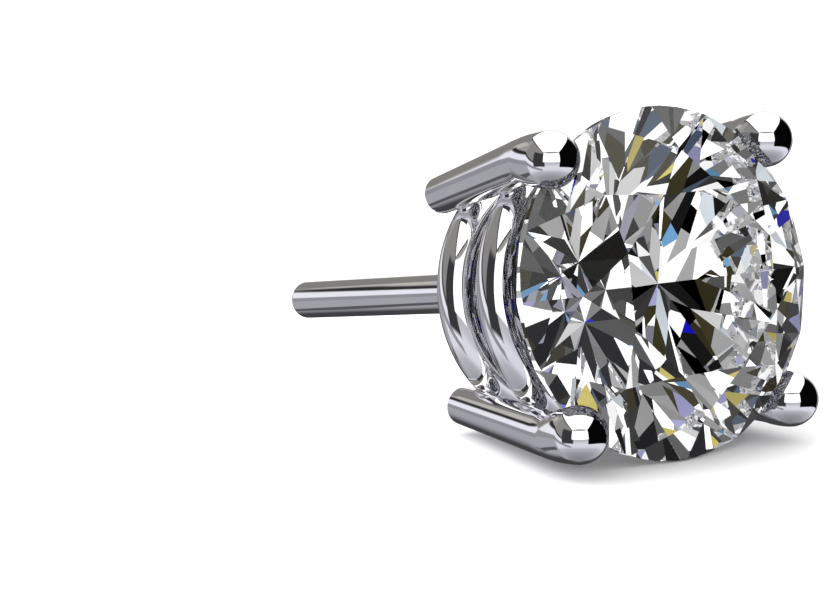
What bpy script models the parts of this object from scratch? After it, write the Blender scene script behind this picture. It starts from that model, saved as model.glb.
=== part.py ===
"""A stud earring: a round brilliant stone in a four prong basket with a straight ear post.

All sizes are in metres. Each piece is made about its own Z axis, which runs along the earring from
the stone's face, at the low end, to the tip of the post. Height 0 is the middle of the girdle.
The pieces hang on an empty that lays the earring down: it rests on the lowest point of the
stone's girdle and on the lowest point of the basket behind it.
"""

import math

import bmesh
import bpy
from mathutils import Matrix, Vector

# Stone: a round brilliant, measured across the flats of its girdle
STONE_DIAMETER = 0.0060
TABLE_SHARE = 0.54
CROWN_ANGLE = math.radians(34.5)
STAR_SHARE = 0.50
PAVILION_ANGLE = math.radians(40.75)
LOWER_HALF_SHARE = 0.77
GIRDLE_THICKNESS = 0.00018
MAIN_FACETS = 8
GIRDLE_FLATS_PER_HALF = 3

# The gap that the stone keeps to the metal of its seats
SEAT_GAP = 0.00003

# Prongs: leaning rods with a rounded bead in front, each on a diagonal of the stone
PRONGS = 4
PRONG_BACK_HEIGHT = 0.00380
PRONG_BACK_OFFSET = 0.002685
PRONG_BACK_RADIUS = 0.00034
PRONG_END_ROUNDING = 0.00005
PRONG_SHOULDER_HEIGHT = 0.00040
PRONG_SHOULDER_OFFSET = 0.003250
PRONG_SHOULDER_RADIUS = 0.00040
BEAD_HEIGHT = -0.00023
BEAD_OFFSET = 0.003200
BEAD_RADIUS = 0.00049

# Gallery rails: two rings of round wire, set a little way into the inner sides of the prongs
RAIL_SET_IN = 0.000045
FRONT_RAIL_HEIGHT = 0.00158
FRONT_RAIL_WIRE_RADIUS = 0.000405
REAR_RAIL_HEIGHT = 0.00326
REAR_RAIL_WIRE_RADIUS = 0.000400

# Post: a straight pin soldered to a bar that crosses the rear rail
BAR_RADIUS = 0.000320
POST_RADIUS = 0.000393
POST_LENGTH = 0.0095
POST_END_ROUNDING = 0.00018

# How finely round shapes are divided
PRONG_BEVEL_STEPS = 12
NECK_STEPS = 6
BEAD_STEPS = 8
RAIL_STEPS = 80
WIRE_SIDES = 16
POST_SIDES = 24
POST_END_STEPS = 4

# Points this close together are one point, and edges sharper than this are drawn as edges
WELD = 2e-8
SHARP_ANGLE = math.radians(35)

METAL_COLOUR = (0.83, 0.83, 0.85, 1.0)
METAL_ROUGHNESS = 0.06
STONE_COLOUR = (1.0, 1.0, 1.0, 1.0)
STONE_IOR = 2.417

# Sizes that follow from the ones above
stone_radius = STONE_DIAMETER / 2
blank_depth = 2 * STONE_DIAMETER
girdle_half = GIRDLE_THICKNESS / 2
half_step = math.pi / MAIN_FACETS
post_tip = REAR_RAIL_HEIGHT + POST_LENGTH
lean = math.atan2(PRONG_SHOULDER_OFFSET - PRONG_BACK_OFFSET, PRONG_BACK_HEIGHT - PRONG_SHOULDER_HEIGHT)


def between(start, end, share):
    return start + (end - start) * share


def rail_radius(height, wire_radius):
    """The radius of a rail of this wire that the prongs hold at this height."""
    share = (height - PRONG_SHOULDER_HEIGHT) / (PRONG_BACK_HEIGHT - PRONG_SHOULDER_HEIGHT)
    prong_offset = between(PRONG_SHOULDER_OFFSET, PRONG_BACK_OFFSET, share)
    prong_radius = between(PRONG_SHOULDER_RADIUS, PRONG_BACK_RADIUS, share)
    return prong_offset - prong_radius - wire_radius + RAIL_SET_IN


def resting_tilt():
    """The smallest slope from the girdle to anything behind it, which is the slope it settles at."""
    prong_drop = math.sin(math.pi / PRONGS) * PRONG_BACK_OFFSET + PRONG_BACK_RADIUS
    supports = (
        (REAR_RAIL_HEIGHT, rear_rail_radius + REAR_RAIL_WIRE_RADIUS),
        (PRONG_BACK_HEIGHT, prong_drop),
        (post_tip - POST_END_ROUNDING, POST_RADIUS),
    )
    return min(math.atan2(stone_radius - drop, height - girdle_half) for height, drop in supports)


def point(radius, azimuth, height):
    """A place by its distance from the earring's axis, its turn about it and its height along it."""
    return Vector((radius * math.cos(azimuth), radius * math.sin(azimuth), height))


def ease(share):
    return share * share * (3 - 2 * share)


def clear_scene():
    for obj in list(bpy.data.objects):
        bpy.data.objects.remove(obj, do_unlink=True)
    for collection in list(bpy.data.collections):
        bpy.data.collections.remove(collection)


def new_collection(name):
    collection = bpy.data.collections.new(name)
    bpy.context.scene.collection.children.link(collection)
    return collection


def add_object(name, data, collection, height=0.0):
    """An object on the earring's axis, carried by the empty that lays the earring down."""
    obj = bpy.data.objects.new(name, data)
    obj.parent = lying
    obj.location.z = height
    collection.objects.link(obj)
    return obj


def add_cutter(name, data, height=0.0):
    obj = add_object(name, data, cutters, height)
    obj.hide_render = True
    obj.display_type = "WIRE"
    return obj


def finished_mesh(name, bm, smooth):
    """A mesh from welded, outward turned faces. Round pieces are smooth but for their edges."""
    bmesh.ops.remove_doubles(bm, verts=bm.verts, dist=WELD)
    bmesh.ops.recalc_face_normals(bm, faces=bm.faces)
    mesh = bpy.data.meshes.new(name)
    bm.to_mesh(mesh)
    bm.free()
    if smooth:
        mesh.shade_smooth()
        mesh.set_sharp_from_angle(angle=SHARP_ANGLE)
    return mesh


def cut_facet(bm, through, azimuth, slope, side):
    """Grinds one flat facet. side is -1 for the crown and 1 for the pavilion, slope 0 is level."""
    normal = point(math.sin(slope), azimuth, side * math.cos(slope))
    geometry = [*bm.verts, *bm.edges, *bm.faces]
    bmesh.ops.bisect_plane(bm, geom=geometry, dist=WELD, plane_co=through, plane_no=normal, clear_outer=True)
    bmesh.ops.holes_fill(bm, edges=[edge for edge in bm.edges if edge.is_boundary])


def cut_side(bm, edge, band, main_angle, inner_radius, side):
    """Grinds the half facets and then the main facets of one side of the stone.

    edge and band are the girdle's radius and half its thickness. Two halves and two mains meet at a
    point inner_radius from the axis. Returns that point's height above the girdle's middle.
    """
    meeting_height = band + (edge - inner_radius * math.cos(half_step)) * math.tan(main_angle)
    chord = edge * math.cos(half_step / 2)
    run = chord - inner_radius * math.cos(half_step / 2)
    half_angle = math.atan2(meeting_height - band, run)
    for k in range(2 * MAIN_FACETS):
        azimuth = (k + 0.5) * half_step
        cut_facet(bm, point(chord, azimuth, side * band), azimuth, half_angle, side)
    for k in range(MAIN_FACETS):
        azimuth = (2 * k + 1) * half_step
        cut_facet(bm, point(edge, azimuth, side * band), azimuth, main_angle, side)
    return meeting_height


def brilliant(grow=0.0):
    """A round brilliant, ground from a flat sided disc. grow enlarges it all round for the seats."""
    edge = stone_radius + grow
    band = girdle_half + grow
    corner_radius = TABLE_SHARE * edge
    table_flat = corner_radius * math.cos(half_step)
    table_height = band + (edge - corner_radius) * math.tan(CROWN_ANGLE)
    star_radius = between(table_flat, edge, STAR_SHARE)
    lower_radius = (1 - LOWER_HALF_SHARE) * edge
    flats = 2 * MAIN_FACETS * GIRDLE_FLATS_PER_HALF
    blank_radius = edge / math.cos(math.pi / flats)
    bm = bmesh.new()
    bmesh.ops.create_cone(
        bm,
        cap_ends=True,
        segments=flats,
        radius1=blank_radius,
        radius2=blank_radius,
        depth=blank_depth,
        matrix=Matrix.Rotation(math.pi / flats, 4, "Z"),
    )
    cut_side(bm, edge, band, PAVILION_ANGLE, lower_radius, 1)
    star_height = cut_side(bm, edge, band, CROWN_ANGLE, star_radius, -1)
    star_angle = math.atan2(table_height - star_height, star_radius - table_flat)
    for k in range(MAIN_FACETS):
        azimuth = 2 * k * half_step
        cut_facet(bm, point(table_flat, azimuth, -table_height), azimuth, star_angle, -1)
    cut_facet(bm, point(0.0, 0.0, -table_height), 0.0, 0.0, -1)
    return finished_mesh("brilliant", bm, smooth=False)


def prong_stations():
    """Offset from the axis, height and radius along one prong, from its back end to its bead."""
    trim = PRONG_END_ROUNDING * math.cos(lean)
    stations = [
        (PRONG_BACK_OFFSET, PRONG_BACK_HEIGHT, PRONG_BACK_RADIUS - PRONG_END_ROUNDING),
        (PRONG_BACK_OFFSET, PRONG_BACK_HEIGHT - trim, PRONG_BACK_RADIUS),
    ]
    for k in range(NECK_STEPS + 1):
        share = k / NECK_STEPS
        offset = between(PRONG_SHOULDER_OFFSET, BEAD_OFFSET, ease(share))
        height = between(PRONG_SHOULDER_HEIGHT, BEAD_HEIGHT, share)
        radius = between(PRONG_SHOULDER_RADIUS, BEAD_RADIUS, math.sin(share * math.pi / 2))
        stations.append((offset, height, radius))
    for k in range(1, BEAD_STEPS):
        turn = k / BEAD_STEPS * math.pi / 2
        stations.append((BEAD_OFFSET, BEAD_HEIGHT - BEAD_RADIUS * math.sin(turn), BEAD_RADIUS * math.cos(turn)))
    return stations


def prongs_mesh():
    """All the prongs: bevelled curves whose radius follows the stations, made into one mesh."""
    curve = bpy.data.curves.new("prongs", "CURVE")
    curve.dimensions = "3D"
    curve.bevel_depth = BEAD_RADIUS
    curve.bevel_resolution = PRONG_BEVEL_STEPS
    curve.use_fill_caps = True
    stations = prong_stations()
    for k in range(PRONGS):
        azimuth = (k + 0.5) * 2 * math.pi / PRONGS
        spline = curve.splines.new("POLY")
        spline.points.add(len(stations) - 1)
        for target, (offset, height, radius) in zip(spline.points, stations):
            target.co = (*point(offset, azimuth, height), 1.0)
            target.radius = radius / BEAD_RADIUS
    drawn = bpy.data.objects.new("prongs_curve", curve)
    cutters.objects.link(drawn)
    graph = bpy.context.evaluated_depsgraph_get()
    solid = bpy.data.meshes.new_from_object(drawn.evaluated_get(graph))
    bpy.data.objects.remove(drawn, do_unlink=True)
    bm = bmesh.new()
    bm.from_mesh(solid)
    return finished_mesh("prongs", bm, smooth=True)


def rail_mesh(name, radius, wire_radius):
    """A ring of round wire with a flat step of its circle on the downward side."""
    corner = 1 / math.cos(math.pi / RAIL_STEPS)
    bpy.ops.mesh.primitive_torus_add(
        major_segments=RAIL_STEPS,
        minor_segments=WIRE_SIDES,
        major_radius=radius * corner,
        minor_radius=wire_radius * corner,
    )
    ring = bpy.context.active_object
    bm = bmesh.new()
    bm.from_mesh(ring.data)
    bpy.data.objects.remove(ring, do_unlink=True)
    bmesh.ops.rotate(bm, verts=bm.verts, matrix=Matrix.Rotation(math.pi / RAIL_STEPS, 3, "Z"))
    return finished_mesh(name, bm, smooth=True)


def bar_mesh():
    """The bar across the rear rail. Its ends lie inside the rail's wire."""
    bm = bmesh.new()
    bmesh.ops.create_cone(
        bm,
        cap_ends=True,
        segments=WIRE_SIDES,
        radius1=BAR_RADIUS,
        radius2=BAR_RADIUS,
        depth=2 * rear_rail_radius,
        matrix=Matrix.Rotation(math.pi / 2, 4, "X"),
    )
    return finished_mesh("rear_bar", bm, smooth=True)


def post_profile():
    """Half the outline of the post, from its rounded tip down to the middle of the bar."""
    mesh = bpy.data.meshes.new("ear_post")
    outline = [(0.0, POST_LENGTH)]
    for k in range(POST_END_STEPS, -1, -1):
        turn = k / POST_END_STEPS * math.pi / 2
        radius = POST_RADIUS - POST_END_ROUNDING * (1 - math.cos(turn))
        outline.append((radius, POST_LENGTH - POST_END_ROUNDING * (1 - math.sin(turn))))
    outline.append((POST_RADIUS, 0.0))
    outline.append((0.0, 0.0))
    points = [(radius, 0.0, height) for radius, height in outline]
    mesh.from_pydata(points, [(k, k + 1) for k in range(len(points) - 1)], [])
    return mesh


def turn_round(obj, steps):
    screw = obj.modifiers.new("turned", "SCREW")
    screw.steps = steps
    screw.render_steps = steps
    screw.use_merge_vertices = True
    screw.merge_threshold = WELD


def add_boolean(obj, other, operation):
    modifier = obj.modifiers.new(other.name, "BOOLEAN")
    modifier.operation = operation
    modifier.solver = "EXACT"
    modifier.object = other


def metal_material():
    material = bpy.data.materials.new("white_gold")
    material.use_nodes = True
    shader = material.node_tree.nodes["Principled BSDF"]
    shader.inputs["Base Color"].default_value = METAL_COLOUR
    shader.inputs["Metallic"].default_value = 1.0
    shader.inputs["Roughness"].default_value = METAL_ROUGHNESS
    return material


def stone_material():
    material = bpy.data.materials.new("white_stone")
    material.use_nodes = True
    shader = material.node_tree.nodes["Principled BSDF"]
    shader.inputs["Base Color"].default_value = STONE_COLOUR
    shader.inputs["Transmission Weight"].default_value = 1.0
    shader.inputs["Roughness"].default_value = 0.0
    shader.inputs["IOR"].default_value = STONE_IOR
    return material


def lay_down():
    """Turns the empty so that the earring rests, with its lowest point at 0 and its box centred."""
    tilt = resting_tilt()
    table_radius = TABLE_SHARE * stone_radius
    table_height = girdle_half + (stone_radius - table_radius) * math.tan(CROWN_ANGLE)
    table_flat = table_radius * math.cos(half_step)
    lift = stone_radius * math.cos(tilt) + girdle_half * math.sin(tilt)
    front = -table_height * math.cos(tilt) - table_flat * math.sin(tilt)
    rear = post_tip * math.cos(tilt) + (POST_RADIUS - POST_END_ROUNDING) * math.sin(tilt)
    lying.rotation_euler.x = -(math.pi / 2 + tilt)
    lying.location = (0.0, -(front + rear) / 2, lift)


front_rail_radius = rail_radius(FRONT_RAIL_HEIGHT, FRONT_RAIL_WIRE_RADIUS)
rear_rail_radius = rail_radius(REAR_RAIL_HEIGHT, REAR_RAIL_WIRE_RADIUS)

clear_scene()
earring = new_collection("stud_earring")
cutters = new_collection("stud_earring_cutters")
lying = bpy.data.objects.new("lying", None)
earring.objects.link(lying)
lay_down()

stone = add_object("stone", brilliant(), earring)
stone.data.materials.append(stone_material())

front_rail = rail_mesh("front_rail", front_rail_radius, FRONT_RAIL_WIRE_RADIUS)
setting = add_object("setting", front_rail, earring, FRONT_RAIL_HEIGHT)
setting.data.materials.append(metal_material())

prongs = add_cutter("prongs", prongs_mesh())
rear_rail = add_cutter(
    "rear_rail", rail_mesh("rear_rail", rear_rail_radius, REAR_RAIL_WIRE_RADIUS), REAR_RAIL_HEIGHT
)
rear_bar = add_cutter("rear_bar", bar_mesh(), REAR_RAIL_HEIGHT)
ear_post = add_cutter("ear_post", post_profile(), REAR_RAIL_HEIGHT)
turn_round(ear_post, POST_SIDES)
seats = add_cutter("stone_seats", brilliant(SEAT_GAP))

for soldered in (prongs, rear_rail, rear_bar, ear_post):
    add_boolean(setting, soldered, "UNION")
add_boolean(setting, seats, "DIFFERENCE")
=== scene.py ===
"""Looks of the stud earring: polished metal, cut stone, studio and camera."""

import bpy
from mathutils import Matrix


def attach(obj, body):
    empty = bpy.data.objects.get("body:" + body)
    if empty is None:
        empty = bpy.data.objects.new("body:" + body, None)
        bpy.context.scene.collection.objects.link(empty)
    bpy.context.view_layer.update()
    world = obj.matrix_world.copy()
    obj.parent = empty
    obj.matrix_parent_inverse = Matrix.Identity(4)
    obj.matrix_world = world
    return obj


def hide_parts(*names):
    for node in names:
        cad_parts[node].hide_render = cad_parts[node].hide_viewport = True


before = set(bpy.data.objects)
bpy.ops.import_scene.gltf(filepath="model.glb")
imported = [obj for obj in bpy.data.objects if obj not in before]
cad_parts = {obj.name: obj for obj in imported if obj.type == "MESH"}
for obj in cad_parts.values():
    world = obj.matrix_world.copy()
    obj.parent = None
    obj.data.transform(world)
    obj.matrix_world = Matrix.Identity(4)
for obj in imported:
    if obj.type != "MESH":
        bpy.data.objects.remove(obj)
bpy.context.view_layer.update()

import math

import bmesh
import bpy
from mathutils import Euler, Matrix, Vector

# The earring's own frame: Z along its axis from the stone's face to the tip of the post, Y down.
# It lies tilted by this angle, with its own origin at this place
TILT = 0.165597005
ORIGIN = Vector((0.0, -0.005674799, 0.002973796))

# Stone
STONE_DIAMETER = 0.0060
TABLE_SHARE = 0.54
CROWN_ANGLE = math.radians(34.5)
STAR_SHARE = 0.50
PAVILION_ANGLE = math.radians(40.75)
LOWER_HALF_SHARE = 0.77
GIRDLE_THICKNESS = 0.00018
MAIN_FACETS = 8
GIRDLE_FLATS_PER_HALF = 3
SEAT_GAP = 0.00003

# Prongs
PRONGS = 4
PRONG_BACK_HEIGHT = 0.00380
PRONG_BACK_OFFSET = 0.002685
PRONG_BACK_RADIUS = 0.00034
PRONG_END_BEVEL = 0.00005
PRONG_SHOULDER_HEIGHT = 0.00040
PRONG_SHOULDER_OFFSET = 0.003250
PRONG_SHOULDER_RADIUS = 0.00040
BEAD_HEIGHT = -0.00023
BEAD_OFFSET = 0.003200
BEAD_RADIUS = 0.00049

# Rails, bar and post
RAIL_SET_IN = 0.000045
FRONT_RAIL_HEIGHT = 0.00158
FRONT_RAIL_WIRE_RADIUS = 0.000405
REAR_RAIL_HEIGHT = 0.00326
REAR_RAIL_WIRE_RADIUS = 0.000400
BAR_RADIUS = 0.000320
POST_RADIUS = 0.000393
POST_LENGTH = 0.0095
POST_END_ROUNDING = 0.00018

# Round wire is fuller than the flat faces that stand for it in the CAD, so it is made this much smaller
REAR_RAIL_TRIM = 0.000007
POST_TRIM = 0.000003

# Fineness of the meshes
WELD = 2e-8
SHARP_ANGLE = math.radians(35)
PRONG_SIDES = 72
PRONG_END_STEPS = 4
PRONG_ROD_STEPS = 12
PRONG_NECK_STEPS = 24
BEAD_STEPS = 40
RAIL_STEPS = 192
RAIL_SIDES = 40
BAR_SIDES = 48
POST_SIDES = 64
POST_END_STEPS = 12

# Metal: the plating varies over 1.4 mm, the polish in hairlines and the surface in slow waves.
# A noise is features a metre and detail, and NOISE_MIDDLE is where most of its values lie
NOISE_MIDDLE = (0.3, 0.7)
METAL_COLOUR = (0.88, 0.88, 0.905)
METAL_COLOUR_THIN = (0.93, 0.925, 0.93)
PLATING_NOISE = (700, 2.0)
METAL_ROUGHNESS = (0.015, 0.07)
HAIRLINE_NOISE = (9000, 3.0)
HAIRLINE_STRETCH = (1.0, 0.12, 1.0)
HAIRLINE_TURN = (0.4, 0.0, 0.7)
WAVE_HEIGHT = 0.0000012
WAVE_NOISE = (1100, 1.0)

# Stone material. From the share KEPT_IN_FROM of mirrored light up, a facet keeps all the light in,
# and below it lets all out. What polished metal mirrors of the stone is dimmed by STONE_IN_METAL
STONE_IOR = 2.417
STONE_FACE_SHINE = (0.22, 0.22, 0.22)
STONE_IN_METAL = (0.28, 0.28, 0.30)
KEPT_IN_FROM = 0.5
WHITE = (1.0, 1.0, 1.0)
BLACK = (0.0, 0.0, 0.0)

# How often a ray may turn inside the stone
BOUNCES = 64
TRANSPARENT_BOUNCES = 8

# Floor and backdrop
FLOOR_HALF_WIDTH = 0.5
PAPER_COLOUR = (0.9, 0.9, 0.9)
BACKDROP_LIGHT = (1.1, 1.1, 1.1)
FLOOR_LIGHT = (1.45, 1.45, 1.45)
FLOOR_LIGHT_LEFT = (3.2, 3.2, 3.2)
FLOOR_LIGHT_LEFT_PLACE = ((-190, -50), (12, 75), 0.35)

# What polished metal mirrors. A level is how it shows, of 255. A place is two azimuths and two
# elevations in degrees and the softness of its edges in radians. Azimuth 0 is ahead of the stone's
# face and 90 is on the right of someone who looks out from it. The ground's levels go by elevation
UP = (0.0, 0.0, 1.0)
LAVENDER = (0.985, 0.985, 1.08)
OLIVE = (1.03, 1.0, 0.95)
GROUND_LEVELS = ((-90, 126), (-60, 148), (-42, 176), (-32, 214), (-20, 214), (-12, 190), (-4, 178))
WALLS = (
    (150, OLIVE, ((-180, 180), (-3, 95), 0.04)),
    (158, LAVENDER, ((-184, -140), (-60, -5), 0.10)),
    (62, LAVENDER, ((108, 184), (-70, -8), 0.22)),
    (84, LAVENDER, ((-172, -150), (-36, -30), 0.015)),
    (132, OLIVE, ((-150, -66), (-3, 44), 0.04)),
    (240, OLIVE, ((112, 154), (-6, 40), 0.03)),
    (124, OLIVE, ((154, 184), (-6, 16), 0.03)),
    (124, OLIVE, ((154, 190), (14, 40), 0.03)),
    (178, OLIVE, ((-177, -166), (16, 24), 0.02)),
    (5, OLIVE, ((0, 104), (-23, 60), 0.015)),
)

# A table edge is level at the left and rises behind: a dark line with a light and a grey one under it
TABLE_EDGE_RISE = 0.36
TABLE_EDGE_AZIMUTH = math.radians(148.8)
TABLE_EDGE_PLACE = ((-172, -70), (-40, 30), 0.05)
TABLE_EDGE_BANDS = ((42, -0.04, 0.04), (228, -0.23, -0.055), (140, -0.38, -0.24))

# A white box in front with a dark wall beside it, and a white ceiling in a dark frame
LAMP = (1.5, 1.5, 1.5)
DARK_WALL_LEVEL = 54
DARK_WALL_PLACE = ((-106, -58), (-21, 27), 0.05)
FRONT_LAMP_PLACE = ((-64, 1), (-4, 29), 0.015)
CEILING_TURN = math.radians(-33.0)
CEILING_SIDES = (-0.90, 0.95)
CEILING_ENDS = (-1.6, 1.4)
CEILING_FRAME = 0.10
CEILING_FRAME_LEVEL = 16
HORIZON = 0.01
BAND_SOFTNESS = 0.02

# What the light that leaves the stone comes from: many cards of several tones, some of them coloured,
# as a cut stone sees a studio. A card's random numbers pick its tone and its colour
CARD_SCALE = 7.5
CARD_TURN = (4.1, 0.7, 2.2)
CARD_TONES = (
    (0.00, 0.0),
    (0.17, 0.012),
    (0.27, 0.050),
    (0.38, 0.13),
    (0.50, 0.26),
    (0.58, 0.48),
    (0.63, 0.75),
    (0.67, 1.8),
)
CARD_COLOURS = (
    (0.000, (0.012, 0.012, 0.72)),
    (0.028, (0.78, 0.66, 0.18)),
    (0.046, (0.20, 0.46, 0.80)),
    (0.058, (0.47, 0.46, 0.78)),
    (0.080, (0.055, 0.048, 0.022)),
    (0.125, (0.12, 0.16, 0.24)),
    (0.170, (0.36, 0.36, 0.44)),
    (0.200, (0.85, 0.93, 1.0)),
)
COLOURED_CARDS = 0.22
SHADE_SCALE = 11.0
SHADE_SHARE = 0.40
SHADE_EDGE = (0.5, 0.25)

# Light that has turned more often than this, give or take, comes out of the stone closer to an even tone
LONG_PATH = (10, 3)
LONG_PATH_TONE = (0.75, 0.75, 0.76)
LONG_PATH_SHARE = 0.6

# Camera, from the photograph's perspective. Its turn is in degrees about X, Y and Z
CAMERA_LENS = 98.872
CAMERA_SENSOR = 36.0
CAMERA_PLACE = Vector((-0.023736069, -0.035892382, 0.009695930))
CAMERA_TURN = (79.548966, 1.025318, -32.054115)
CAMERA_CLIP_START = 0.001

stone_radius = STONE_DIAMETER / 2
girdle_half = GIRDLE_THICKNESS / 2
half_step = math.pi / MAIN_FACETS

LYING = Matrix(
    (
        (1.0, 0.0, 0.0, ORIGIN.x),
        (0.0, -math.sin(TILT), math.cos(TILT), ORIGIN.y),
        (0.0, -math.cos(TILT), -math.sin(TILT), ORIGIN.z),
        (0.0, 0.0, 0.0, 1.0),
    )
)


def point(radius, azimuth, height):
    return Vector((radius * math.cos(azimuth), radius * math.sin(azimuth), height))


def between(start, end, share):
    return start + (end - start) * share


def ease(share):
    return share * share * (3 - 2 * share)


def shade_round(mesh):
    mesh.shade_smooth()
    mesh.set_sharp_from_angle(angle=SHARP_ANGLE)


def add_piece(name, bm, smooth=True):
    """A mesh object placed in the row frame, with the vertices moved there."""
    bmesh.ops.remove_doubles(bm, verts=bm.verts, dist=WELD)
    bmesh.ops.recalc_face_normals(bm, faces=bm.faces)
    mesh = bpy.data.meshes.new(name)
    bm.to_mesh(mesh)
    bm.free()
    mesh.transform(LYING)
    if smooth:
        shade_round(mesh)
    obj = bpy.data.objects.new(name, mesh)
    bpy.context.scene.collection.objects.link(obj)
    return obj


# Stone

def cut_facet(bm, through, azimuth, slope, side):
    """Cuts off what lies beyond a plane through this point. Side is 1 at the pavilion, -1 at the crown."""
    normal = point(math.sin(slope), azimuth, side * math.cos(slope))
    geometry = [*bm.verts, *bm.edges, *bm.faces]
    bmesh.ops.bisect_plane(
        bm, geom=geometry, dist=WELD, plane_co=through, plane_no=normal, clear_outer=True
    )
    bmesh.ops.holes_fill(bm, edges=[edge for edge in bm.edges if edge.is_boundary])


def cut_side(bm, edge, band, main_angle, inner_radius, side):
    """Cuts the half facets and the main facets of one side, and gives the height where they meet."""
    meeting_height = band + (edge - inner_radius * math.cos(half_step)) * math.tan(main_angle)
    chord = edge * math.cos(half_step / 2)
    run = chord - inner_radius * math.cos(half_step / 2)
    half_angle = math.atan2(meeting_height - band, run)
    for k in range(2 * MAIN_FACETS):
        azimuth = (k + 0.5) * half_step
        cut_facet(bm, point(chord, azimuth, side * band), azimuth, half_angle, side)
    for k in range(MAIN_FACETS):
        azimuth = (2 * k + 1) * half_step
        cut_facet(bm, point(edge, azimuth, side * band), azimuth, main_angle, side)
    return meeting_height


def brilliant(grow=0.0):
    edge = stone_radius + grow
    band = girdle_half + grow
    corner_radius = TABLE_SHARE * edge
    table_flat = corner_radius * math.cos(half_step)
    table_height = band + (edge - corner_radius) * math.tan(CROWN_ANGLE)
    star_radius = between(table_flat, edge, STAR_SHARE)
    lower_radius = (1 - LOWER_HALF_SHARE) * edge
    flats = 2 * MAIN_FACETS * GIRDLE_FLATS_PER_HALF
    blank_radius = edge / math.cos(math.pi / flats)
    bm = bmesh.new()
    bmesh.ops.create_cone(
        bm,
        cap_ends=True,
        segments=flats,
        radius1=blank_radius,
        radius2=blank_radius,
        depth=2 * STONE_DIAMETER,
        matrix=Matrix.Rotation(math.pi / flats, 4, "Z"),
    )
    cut_side(bm, edge, band, PAVILION_ANGLE, lower_radius, 1)
    star_height = cut_side(bm, edge, band, CROWN_ANGLE, star_radius, -1)
    star_angle = math.atan2(table_height - star_height, star_radius - table_flat)
    for k in range(MAIN_FACETS):
        azimuth = 2 * k * half_step
        cut_facet(bm, point(table_flat, azimuth, -table_height), azimuth, star_angle, -1)
    cut_facet(bm, point(0.0, 0.0, -table_height), 0.0, 0.0, -1)
    return bm


# Metal

def join_rings(bm, first, second):
    for s in range(len(first)):
        t = (s + 1) % len(first)
        bm.faces.new((first[s], first[t], second[t], second[s]))


def closed_tube(bm, rings):
    """Faces along the rings, and one at each end."""
    for first, second in zip(rings, rings[1:]):
        join_rings(bm, first, second)
    bm.faces.new(rings[0])
    bm.faces.new(rings[-1])
    return bm


def swept(stations, azimuth):
    """A round rod through stations of offset from the axis, height and radius, closed at both ends."""
    bm = bmesh.new()
    out = point(1.0, azimuth, 0.0)
    across = point(1.0, azimuth + math.pi / 2, 0.0)
    centres = [out * offset + Vector((0.0, 0.0, height)) for offset, height, radius in stations]
    rings = []
    for k, (offset, height, radius) in enumerate(stations):
        along = (centres[min(k + 1, len(centres) - 1)] - centres[max(k - 1, 0)]).normalized()
        up = along.cross(across).normalized()
        ring = []
        for s in range(PRONG_SIDES):
            turn = 2 * math.pi * s / PRONG_SIDES
            spoke = across * math.cos(turn) + up * math.sin(turn)
            ring.append(bm.verts.new(centres[k] + spoke * radius))
        rings.append(ring)
    return closed_tube(bm, rings)


def prong_stations():
    """From the bevelled back end along the leaning rod and over the shoulder to the tip of the bead."""
    stations = []
    rod_length = PRONG_BACK_HEIGHT - PRONG_SHOULDER_HEIGHT
    lean = math.atan2(PRONG_SHOULDER_OFFSET - PRONG_BACK_OFFSET, rod_length)
    for k in range(PRONG_END_STEPS + 1):
        bevel = PRONG_END_BEVEL * math.sin(k / PRONG_END_STEPS * math.pi / 2)
        height = PRONG_BACK_HEIGHT - bevel * math.cos(lean)
        stations.append((PRONG_BACK_OFFSET, height, PRONG_BACK_RADIUS - PRONG_END_BEVEL + bevel))
    for k in range(1, PRONG_ROD_STEPS):
        share = k / PRONG_ROD_STEPS
        offset = between(PRONG_BACK_OFFSET, PRONG_SHOULDER_OFFSET, share)
        height = between(PRONG_BACK_HEIGHT - PRONG_END_BEVEL, PRONG_SHOULDER_HEIGHT, share)
        stations.append((offset, height, between(PRONG_BACK_RADIUS, PRONG_SHOULDER_RADIUS, share)))
    for k in range(PRONG_NECK_STEPS + 1):
        share = k / PRONG_NECK_STEPS
        offset = between(PRONG_SHOULDER_OFFSET, BEAD_OFFSET, ease(share))
        height = between(PRONG_SHOULDER_HEIGHT, BEAD_HEIGHT, share)
        radius = between(PRONG_SHOULDER_RADIUS, BEAD_RADIUS, math.sin(share * math.pi / 2))
        stations.append((offset, height, radius))
    for k in range(1, BEAD_STEPS):
        turn = k / BEAD_STEPS * math.pi / 2
        height = BEAD_HEIGHT - BEAD_RADIUS * math.sin(turn)
        stations.append((BEAD_OFFSET, height, BEAD_RADIUS * math.cos(turn)))
    return stations


def rail(radius, wire_radius, height):
    bm = bmesh.new()
    rings = []
    for k in range(RAIL_STEPS):
        azimuth = 2 * math.pi * k / RAIL_STEPS
        ring = []
        for s in range(RAIL_SIDES):
            turn = 2 * math.pi * s / RAIL_SIDES
            out = radius + wire_radius * math.cos(turn)
            ring.append(bm.verts.new(point(out, azimuth, height + wire_radius * math.sin(turn))))
        rings.append(ring)
    for k in range(RAIL_STEPS):
        join_rings(bm, rings[k], rings[(k + 1) % RAIL_STEPS])
    return bm


def rail_radius(height, wire_radius):
    """The rail's wire presses a little into the rods from inside."""
    share = (height - PRONG_SHOULDER_HEIGHT) / (PRONG_BACK_HEIGHT - PRONG_SHOULDER_HEIGHT)
    prong_offset = between(PRONG_SHOULDER_OFFSET, PRONG_BACK_OFFSET, share)
    prong_radius = between(PRONG_SHOULDER_RADIUS, PRONG_BACK_RADIUS, share)
    return prong_offset - prong_radius - wire_radius + RAIL_SET_IN


def lathe(profile, sides):
    bm = bmesh.new()
    rings = []
    for radius, height in profile:
        turns = [2 * math.pi * s / sides for s in range(sides)]
        rings.append([bm.verts.new(point(radius, turn, height)) for turn in turns])
    return closed_tube(bm, rings)


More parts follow.
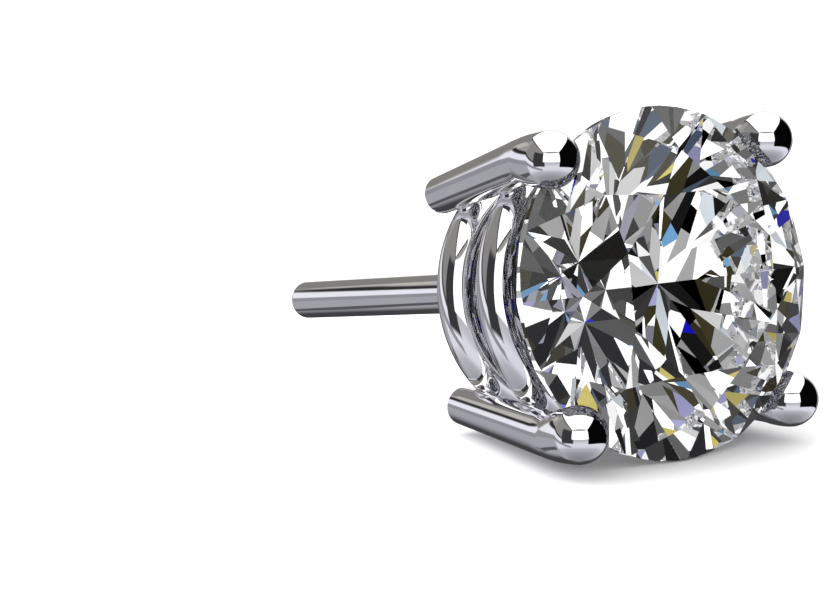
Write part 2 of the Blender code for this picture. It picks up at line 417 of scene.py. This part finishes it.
def upright_bar(half_length):
    bar = lathe([(BAR_RADIUS, -half_length), (BAR_RADIUS, half_length)], BAR_SIDES)
    bmesh.ops.rotate(bar, verts=bar.verts, matrix=Matrix.Rotation(math.pi / 2, 3, "X"))
    bmesh.ops.translate(bar, verts=bar.verts, vec=(0.0, 0.0, REAR_RAIL_HEIGHT))
    return bar


def post_profile():
    profile = [(POST_RADIUS, REAR_RAIL_HEIGHT)]
    tip = REAR_RAIL_HEIGHT + POST_LENGTH - POST_TRIM
    for k in range(POST_END_STEPS + 1):
        turn = k / POST_END_STEPS * math.pi / 2
        radius = POST_RADIUS - POST_END_ROUNDING * (1 - math.cos(turn))
        profile.append((radius, tip - POST_END_ROUNDING * (1 - math.sin(turn))))
    return profile


def cut_away(obj, cutter):
    modifier = obj.modifiers.new("seat", "BOOLEAN")
    modifier.operation = "DIFFERENCE"
    modifier.solver = "EXACT"
    modifier.object = cutter
    graph = bpy.context.evaluated_depsgraph_get()
    mesh = bpy.data.meshes.new_from_object(obj.evaluated_get(graph))
    obj.modifiers.clear()
    obj.data = mesh
    shade_round(mesh)


# Shader nodes

def fill(tree, socket, value):
    """Links the socket where the value is a socket, and sets it otherwise."""
    if isinstance(value, bpy.types.NodeSocket):
        tree.links.new(value, socket)
    elif socket.type == "RGBA":
        socket.default_value = (*value, 1.0)
    else:
        socket.default_value = value


def add_node(tree, kind, inputs=(), **settings):
    """A node with these settings, and with inputs given as a dict or in order."""
    node = tree.nodes.new("ShaderNode" + kind)
    for name, value in settings.items():
        setattr(node, name, value)
    pairs = inputs.items() if isinstance(inputs, dict) else enumerate(inputs)
    for key, value in pairs:
        fill(tree, node.inputs[key], value)
    return node


def new_material(name):
    material = bpy.data.materials.new(name)
    material.use_nodes = True
    material.node_tree.nodes.clear()
    return material, material.node_tree


def noise(tree, scale, detail, stretch=(1.0, 1.0, 1.0), turn=(0.0, 0.0, 0.0)):
    """Noise of scale features a metre, in the place of the object."""
    place = add_node(tree, "TexCoord").outputs["Object"]
    mapping = add_node(tree, "Mapping", {"Vector": place, "Scale": stretch, "Rotation": turn})
    inputs = {"Vector": mapping.outputs[0], "Scale": scale, "Detail": detail}
    return add_node(tree, "TexNoise", inputs).outputs[0]


def spread(tree, source, low, high):
    """The middle of a noise's range carried to low..high."""
    start, end = NOISE_MIDDLE
    inputs = {"Value": source, "From Min": start, "From Max": end, "To Min": low, "To Max": high}
    return add_node(tree, "MapRange", inputs).outputs[0]


def over(tree, base, colour, share):
    """The colour laid over the base by this share."""
    return add_node(tree, "Mix", {0: share, 6: base, 7: colour}, data_type="RGBA").outputs[2]


def mixed(tree, share, first, second):
    return add_node(tree, "MixShader", (share, first, second)).outputs[0]


def refracted(tree, colour):
    inputs = {"Color": colour, "Roughness": 0.0, "IOR": STONE_IOR}
    return add_node(tree, "BsdfRefraction", inputs).outputs[0]


def mirrored(tree, colour):
    return add_node(tree, "BsdfGlossy", {"Color": colour, "Roughness": 0.0}).outputs[0]


def metal_material():
    material, tree = new_material("white_gold_polished")
    plating = spread(tree, noise(tree, *PLATING_NOISE), 0.0, 1.0)
    hairlines = noise(tree, *HAIRLINE_NOISE, HAIRLINE_STRETCH, HAIRLINE_TURN)
    waves = {"Strength": 1.0, "Distance": WAVE_HEIGHT, "Height": noise(tree, *WAVE_NOISE)}
    shader = add_node(
        tree,
        "BsdfPrincipled",
        {
            "Metallic": 1.0,
            "Base Color": over(tree, METAL_COLOUR, METAL_COLOUR_THIN, plating),
            "Roughness": spread(tree, hairlines, *METAL_ROUGHNESS),
            "Normal": add_node(tree, "Bump", waves).outputs[0],
        },
    )
    add_node(tree, "OutputMaterial", {"Surface": shader.outputs[0]})
    return material


def stone_material():
    material, tree = new_material("white_brilliant")
    shine = add_node(tree, "Fresnel", {"IOR": STONE_IOR}).outputs[0]
    # Painted shade: a ray mirrored off the polished metal sees the stone through the darker refraction
    # colour STONE_IN_METAL, so the stone shows dimmer in the metal
    in_metal = add_node(tree, "LightPath").outputs["Is Glossy Ray"]
    inward = mixed(tree, in_metal, refracted(tree, WHITE), refracted(tree, STONE_IN_METAL))
    entering = mixed(tree, shine, inward, mirrored(tree, STONE_FACE_SHINE))
    kept_in = add_node(tree, "Math", (shine, KEPT_IN_FROM), operation="GREATER_THAN").outputs[0]
    leaving = mixed(tree, kept_in, refracted(tree, WHITE), mirrored(tree, WHITE))
    inside = add_node(tree, "NewGeometry").outputs["Backfacing"]
    add_node(tree, "OutputMaterial", {"Surface": mixed(tree, inside, entering, leaving)})
    return material


def paper_material():
    material, tree = new_material("white_paper")
    shader = add_node(tree, "BsdfDiffuse", {"Color": PAPER_COLOUR})
    add_node(tree, "OutputMaterial", {"Surface": shader.outputs[0]})
    return material


# Studio

def math_node(tree, operation, *values):
    return add_node(tree, "Math", values, operation=operation).outputs[0]


def dot(tree, vector, along):
    return add_node(tree, "VectorMath", (vector, along), operation="DOT_PRODUCT").outputs["Value"]


def step_up(tree, value, edge, softness):
    """0 below the edge and 1 above it."""
    inputs = {"Value": value, "From Min": edge - softness, "From Max": edge + softness}
    return add_node(tree, "MapRange", inputs, interpolation_type="SMOOTHSTEP").outputs[0]


def step_down(tree, value, edge, softness):
    return math_node(tree, "SUBTRACT", 1.0, step_up(tree, value, edge, softness))


def band(tree, value, low, high, softness):
    """1 between low and high and 0 outside."""
    above = step_up(tree, value, low, softness)
    return math_node(tree, "MULTIPLY", above, step_down(tree, value, high, softness))


def elevation_of(tree, direction):
    return math_node(tree, "ARCSINE", dot(tree, direction, UP))


def panel(tree, direction, azimuths, elevations, softness):
    """1 in a place of the room and 0 outside."""
    middle = math.radians(sum(azimuths) / 2)
    half_width = math.radians(azimuths[1] - azimuths[0]) / 2
    ahead = dot(tree, direction, (math.sin(middle), -math.cos(middle), 0.0))
    across = dot(tree, direction, (math.cos(middle), math.sin(middle), 0.0))
    turn = math_node(tree, "ABSOLUTE", math_node(tree, "ARCTAN2", across, ahead))
    low, high = (math.radians(value) for value in elevations)
    beside = step_down(tree, turn, half_width, softness)
    level = band(tree, elevation_of(tree, direction), low, high, softness)
    return math_node(tree, "MULTIPLY", beside, level)


def grey(level, tint=WHITE):
    """The light that shows as this level of 255 in polished metal."""
    share = level / 255
    light = share / 12.92 if share < 0.04045 else ((share + 0.055) / 1.055) ** 2.4
    return tuple(light * part / METAL_COLOUR[0] for part in tint)


def ramp(tree, value, stops, interpolation):
    node = add_node(tree, "ValToRGB", (value,))
    node.color_ramp.interpolation = interpolation
    while len(node.color_ramp.elements) < len(stops):
        node.color_ramp.elements.new(1.0)
    for element, (place, colour) in zip(node.color_ramp.elements, stops):
        element.position = place
        element.color = (*colour, 1.0)
    return node.outputs[0]


def ground_and_walls(tree, direction):
    above_nadir = math_node(tree, "ADD", elevation_of(tree, direction), math.pi / 2)
    share = math_node(tree, "DIVIDE", above_nadir, math.pi / 2)
    stops = [((angle + 90) / 90, grey(level, LAVENDER)) for angle, level in GROUND_LEVELS]
    room = ramp(tree, share, stops, "LINEAR")
    for level, tint, place in WALLS:
        room = over(tree, room, grey(level, tint), panel(tree, direction, *place))
    return room


def table_edge(tree, direction, room):
    across = TABLE_EDGE_RISE * math.sin(TABLE_EDGE_AZIMUTH)
    ahead = TABLE_EDGE_RISE * math.cos(TABLE_EDGE_AZIMUTH)
    rise = dot(tree, direction, (across, -ahead, 0.0))
    height = math_node(tree, "SUBTRACT", dot(tree, direction, UP), rise)
    beside = panel(tree, direction, *TABLE_EDGE_PLACE)
    for level, low, high in TABLE_EDGE_BANDS:
        line = band(tree, height, low, high, BAND_SOFTNESS)
        line = math_node(tree, "MULTIPLY", beside, line)
        room = over(tree, room, grey(level, LAVENDER), line)
    return room


def lamps(tree, direction, room):
    """The front lamp and its dark wall, and the ceiling: a rectangle in a level plane overhead."""
    dark_wall = panel(tree, direction, *DARK_WALL_PLACE)
    room = over(tree, room, grey(DARK_WALL_LEVEL, LAVENDER), dark_wall)
    room = over(tree, room, LAMP, panel(tree, direction, *FRONT_LAMP_PLACE))
    cosine, sine = math.cos(CEILING_TURN), math.sin(CEILING_TURN)
    up = dot(tree, direction, UP)
    aside = math_node(tree, "DIVIDE", dot(tree, direction, (cosine, sine, 0.0)), up)
    ahead = math_node(tree, "DIVIDE", dot(tree, direction, (sine, -cosine, 0.0)), up)
    overhead = math_node(tree, "GREATER_THAN", up, HORIZON)
    for frame_width, light in ((CEILING_FRAME, grey(CEILING_FRAME_LEVEL)), (0.0, LAMP)):
        inside = overhead
        for value, (low, high) in ((aside, CEILING_SIDES), (ahead, CEILING_ENDS)):
            across = band(tree, value, low - frame_width, high + frame_width, BAND_SOFTNESS)
            inside = math_node(tree, "MULTIPLY", inside, across)
        room = over(tree, room, light, inside)
    return room


def cards(tree, direction, turns):
    """The studio as the stone sees it, by direction and by how often the light has turned."""
    mapping = add_node(tree, "Mapping", {"Vector": direction, "Rotation": CARD_TURN})
    place = mapping.outputs[0]
    cells = add_node(tree, "TexVoronoi", {"Vector": place, "Scale": CARD_SCALE})
    draws = add_node(tree, "SeparateColor", (cells.outputs["Color"],)).outputs
    tones = [(start, (tone, tone, tone)) for start, tone in CARD_TONES]
    plain = ramp(tree, draws[0], tones, "CONSTANT")
    coloured = ramp(tree, draws[1], CARD_COLOURS, "CONSTANT")
    seen = over(tree, plain, coloured, math_node(tree, "LESS_THAN", draws[1], COLOURED_CARDS))
    clouds = add_node(tree, "TexNoise", {"Vector": place, "Scale": SHADE_SCALE, "Detail": 0.0})
    shade = step_up(tree, clouds.outputs[0], *SHADE_EDGE)
    seen = over(tree, seen, BLACK, math_node(tree, "MULTIPLY", SHADE_SHARE, shade))
    long_path = step_up(tree, turns, *LONG_PATH)
    even = math_node(tree, "MULTIPLY", LONG_PATH_SHARE, long_path)
    return over(tree, seen, LONG_PATH_TONE, even)


def studio_world():
    """Metal, stone, floor and camera each see a studio of their own."""
    world = bpy.data.worlds.new("studio")
    world.use_nodes = True
    tree = world.node_tree
    tree.nodes.clear()
    direction = add_node(tree, "TexCoord").outputs["Generated"]
    rays = add_node(tree, "LightPath").outputs
    room = ground_and_walls(tree, direction)
    room = table_edge(tree, direction, room)
    room = lamps(tree, direction, room)
    stone_sees = cards(tree, direction, rays["Ray Depth"])
    lit_side = panel(tree, direction, *FLOOR_LIGHT_LEFT_PLACE)
    floor_sees = over(tree, FLOOR_LIGHT, FLOOR_LIGHT_LEFT, lit_side)
    seen = over(tree, room, stone_sees, rays["Is Transmission Ray"])
    seen = over(tree, seen, floor_sees, rays["Is Diffuse Ray"])
    seen = over(tree, seen, BACKDROP_LIGHT, rays["Is Camera Ray"])
    background = add_node(tree, "Background", {"Color": seen})
    add_node(tree, "OutputWorld", {"Surface": background.outputs[0]})
    return world


def add_floor():
    half = FLOOR_HALF_WIDTH
    mesh = bpy.data.meshes.new("floor")
    corners = [(-half, -half, 0), (half, -half, 0), (half, half, 0), (-half, half, 0)]
    mesh.from_pydata(corners, [], [(0, 1, 2, 3)])
    mesh.materials.append(paper_material())
    floor = bpy.data.objects.new("floor", mesh)
    bpy.context.scene.collection.objects.link(floor)
    floor.visible_glossy = False
    floor.visible_transmission = False
    return floor


def add_camera():
    data = bpy.data.cameras.new("camera")
    data.sensor_fit = "HORIZONTAL"
    data.sensor_width = CAMERA_SENSOR
    data.lens = CAMERA_LENS
    data.clip_start = CAMERA_CLIP_START
    camera = bpy.data.objects.new("camera", data)
    camera.location = CAMERA_PLACE
    camera.rotation_euler = Euler([math.radians(angle) for angle in CAMERA_TURN])
    bpy.context.scene.collection.objects.link(camera)
    return camera


# Build

stone = add_piece("brilliant", brilliant(), smooth=False)
seats = add_piece("seat_cutter", brilliant(SEAT_GAP), smooth=False)

parts = []
for k in range(PRONGS):
    azimuth = (k + 0.5) * 2 * math.pi / PRONGS
    prong = add_piece(f"prong_{k + 1}", swept(prong_stations(), azimuth))
    cut_away(prong, seats)
    parts.append(prong)
bpy.data.objects.remove(seats, do_unlink=True)

front_radius = rail_radius(FRONT_RAIL_HEIGHT, FRONT_RAIL_WIRE_RADIUS)
rear_radius = rail_radius(REAR_RAIL_HEIGHT, REAR_RAIL_WIRE_RADIUS)
front_rail = rail(front_radius, FRONT_RAIL_WIRE_RADIUS, FRONT_RAIL_HEIGHT)
rear_rail = rail(rear_radius, REAR_RAIL_WIRE_RADIUS - REAR_RAIL_TRIM, REAR_RAIL_HEIGHT)
parts.append(add_piece("front_rail", front_rail))
parts.append(add_piece("rear_rail", rear_rail))
parts.append(add_piece("rear_bar", upright_bar(rear_radius)))
parts.append(add_piece("ear_post", lathe(post_profile(), POST_SIDES)))

metal = metal_material()
for part in parts:
    part.visible_transmission = False
    part.data.materials.clear()
    part.data.materials.append(metal)
    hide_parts("setting")
    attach(part, "root")
stone.data.materials.append(stone_material())
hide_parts("stone")
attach(stone, "root")

floor = add_floor()

scene = bpy.context.scene
scene.world = studio_world()
scene.camera = add_camera()
scene.view_settings.view_transform = "Standard"
scene.view_settings.look = "None"
scene.cycles.max_bounces = BOUNCES
scene.cycles.glossy_bounces = BOUNCES
scene.cycles.transmission_bounces = BOUNCES
scene.cycles.transparent_max_bounces = TRANSPARENT_BOUNCES
scene.cycles.caustics_reflective = True
scene.cycles.caustics_refractive = True
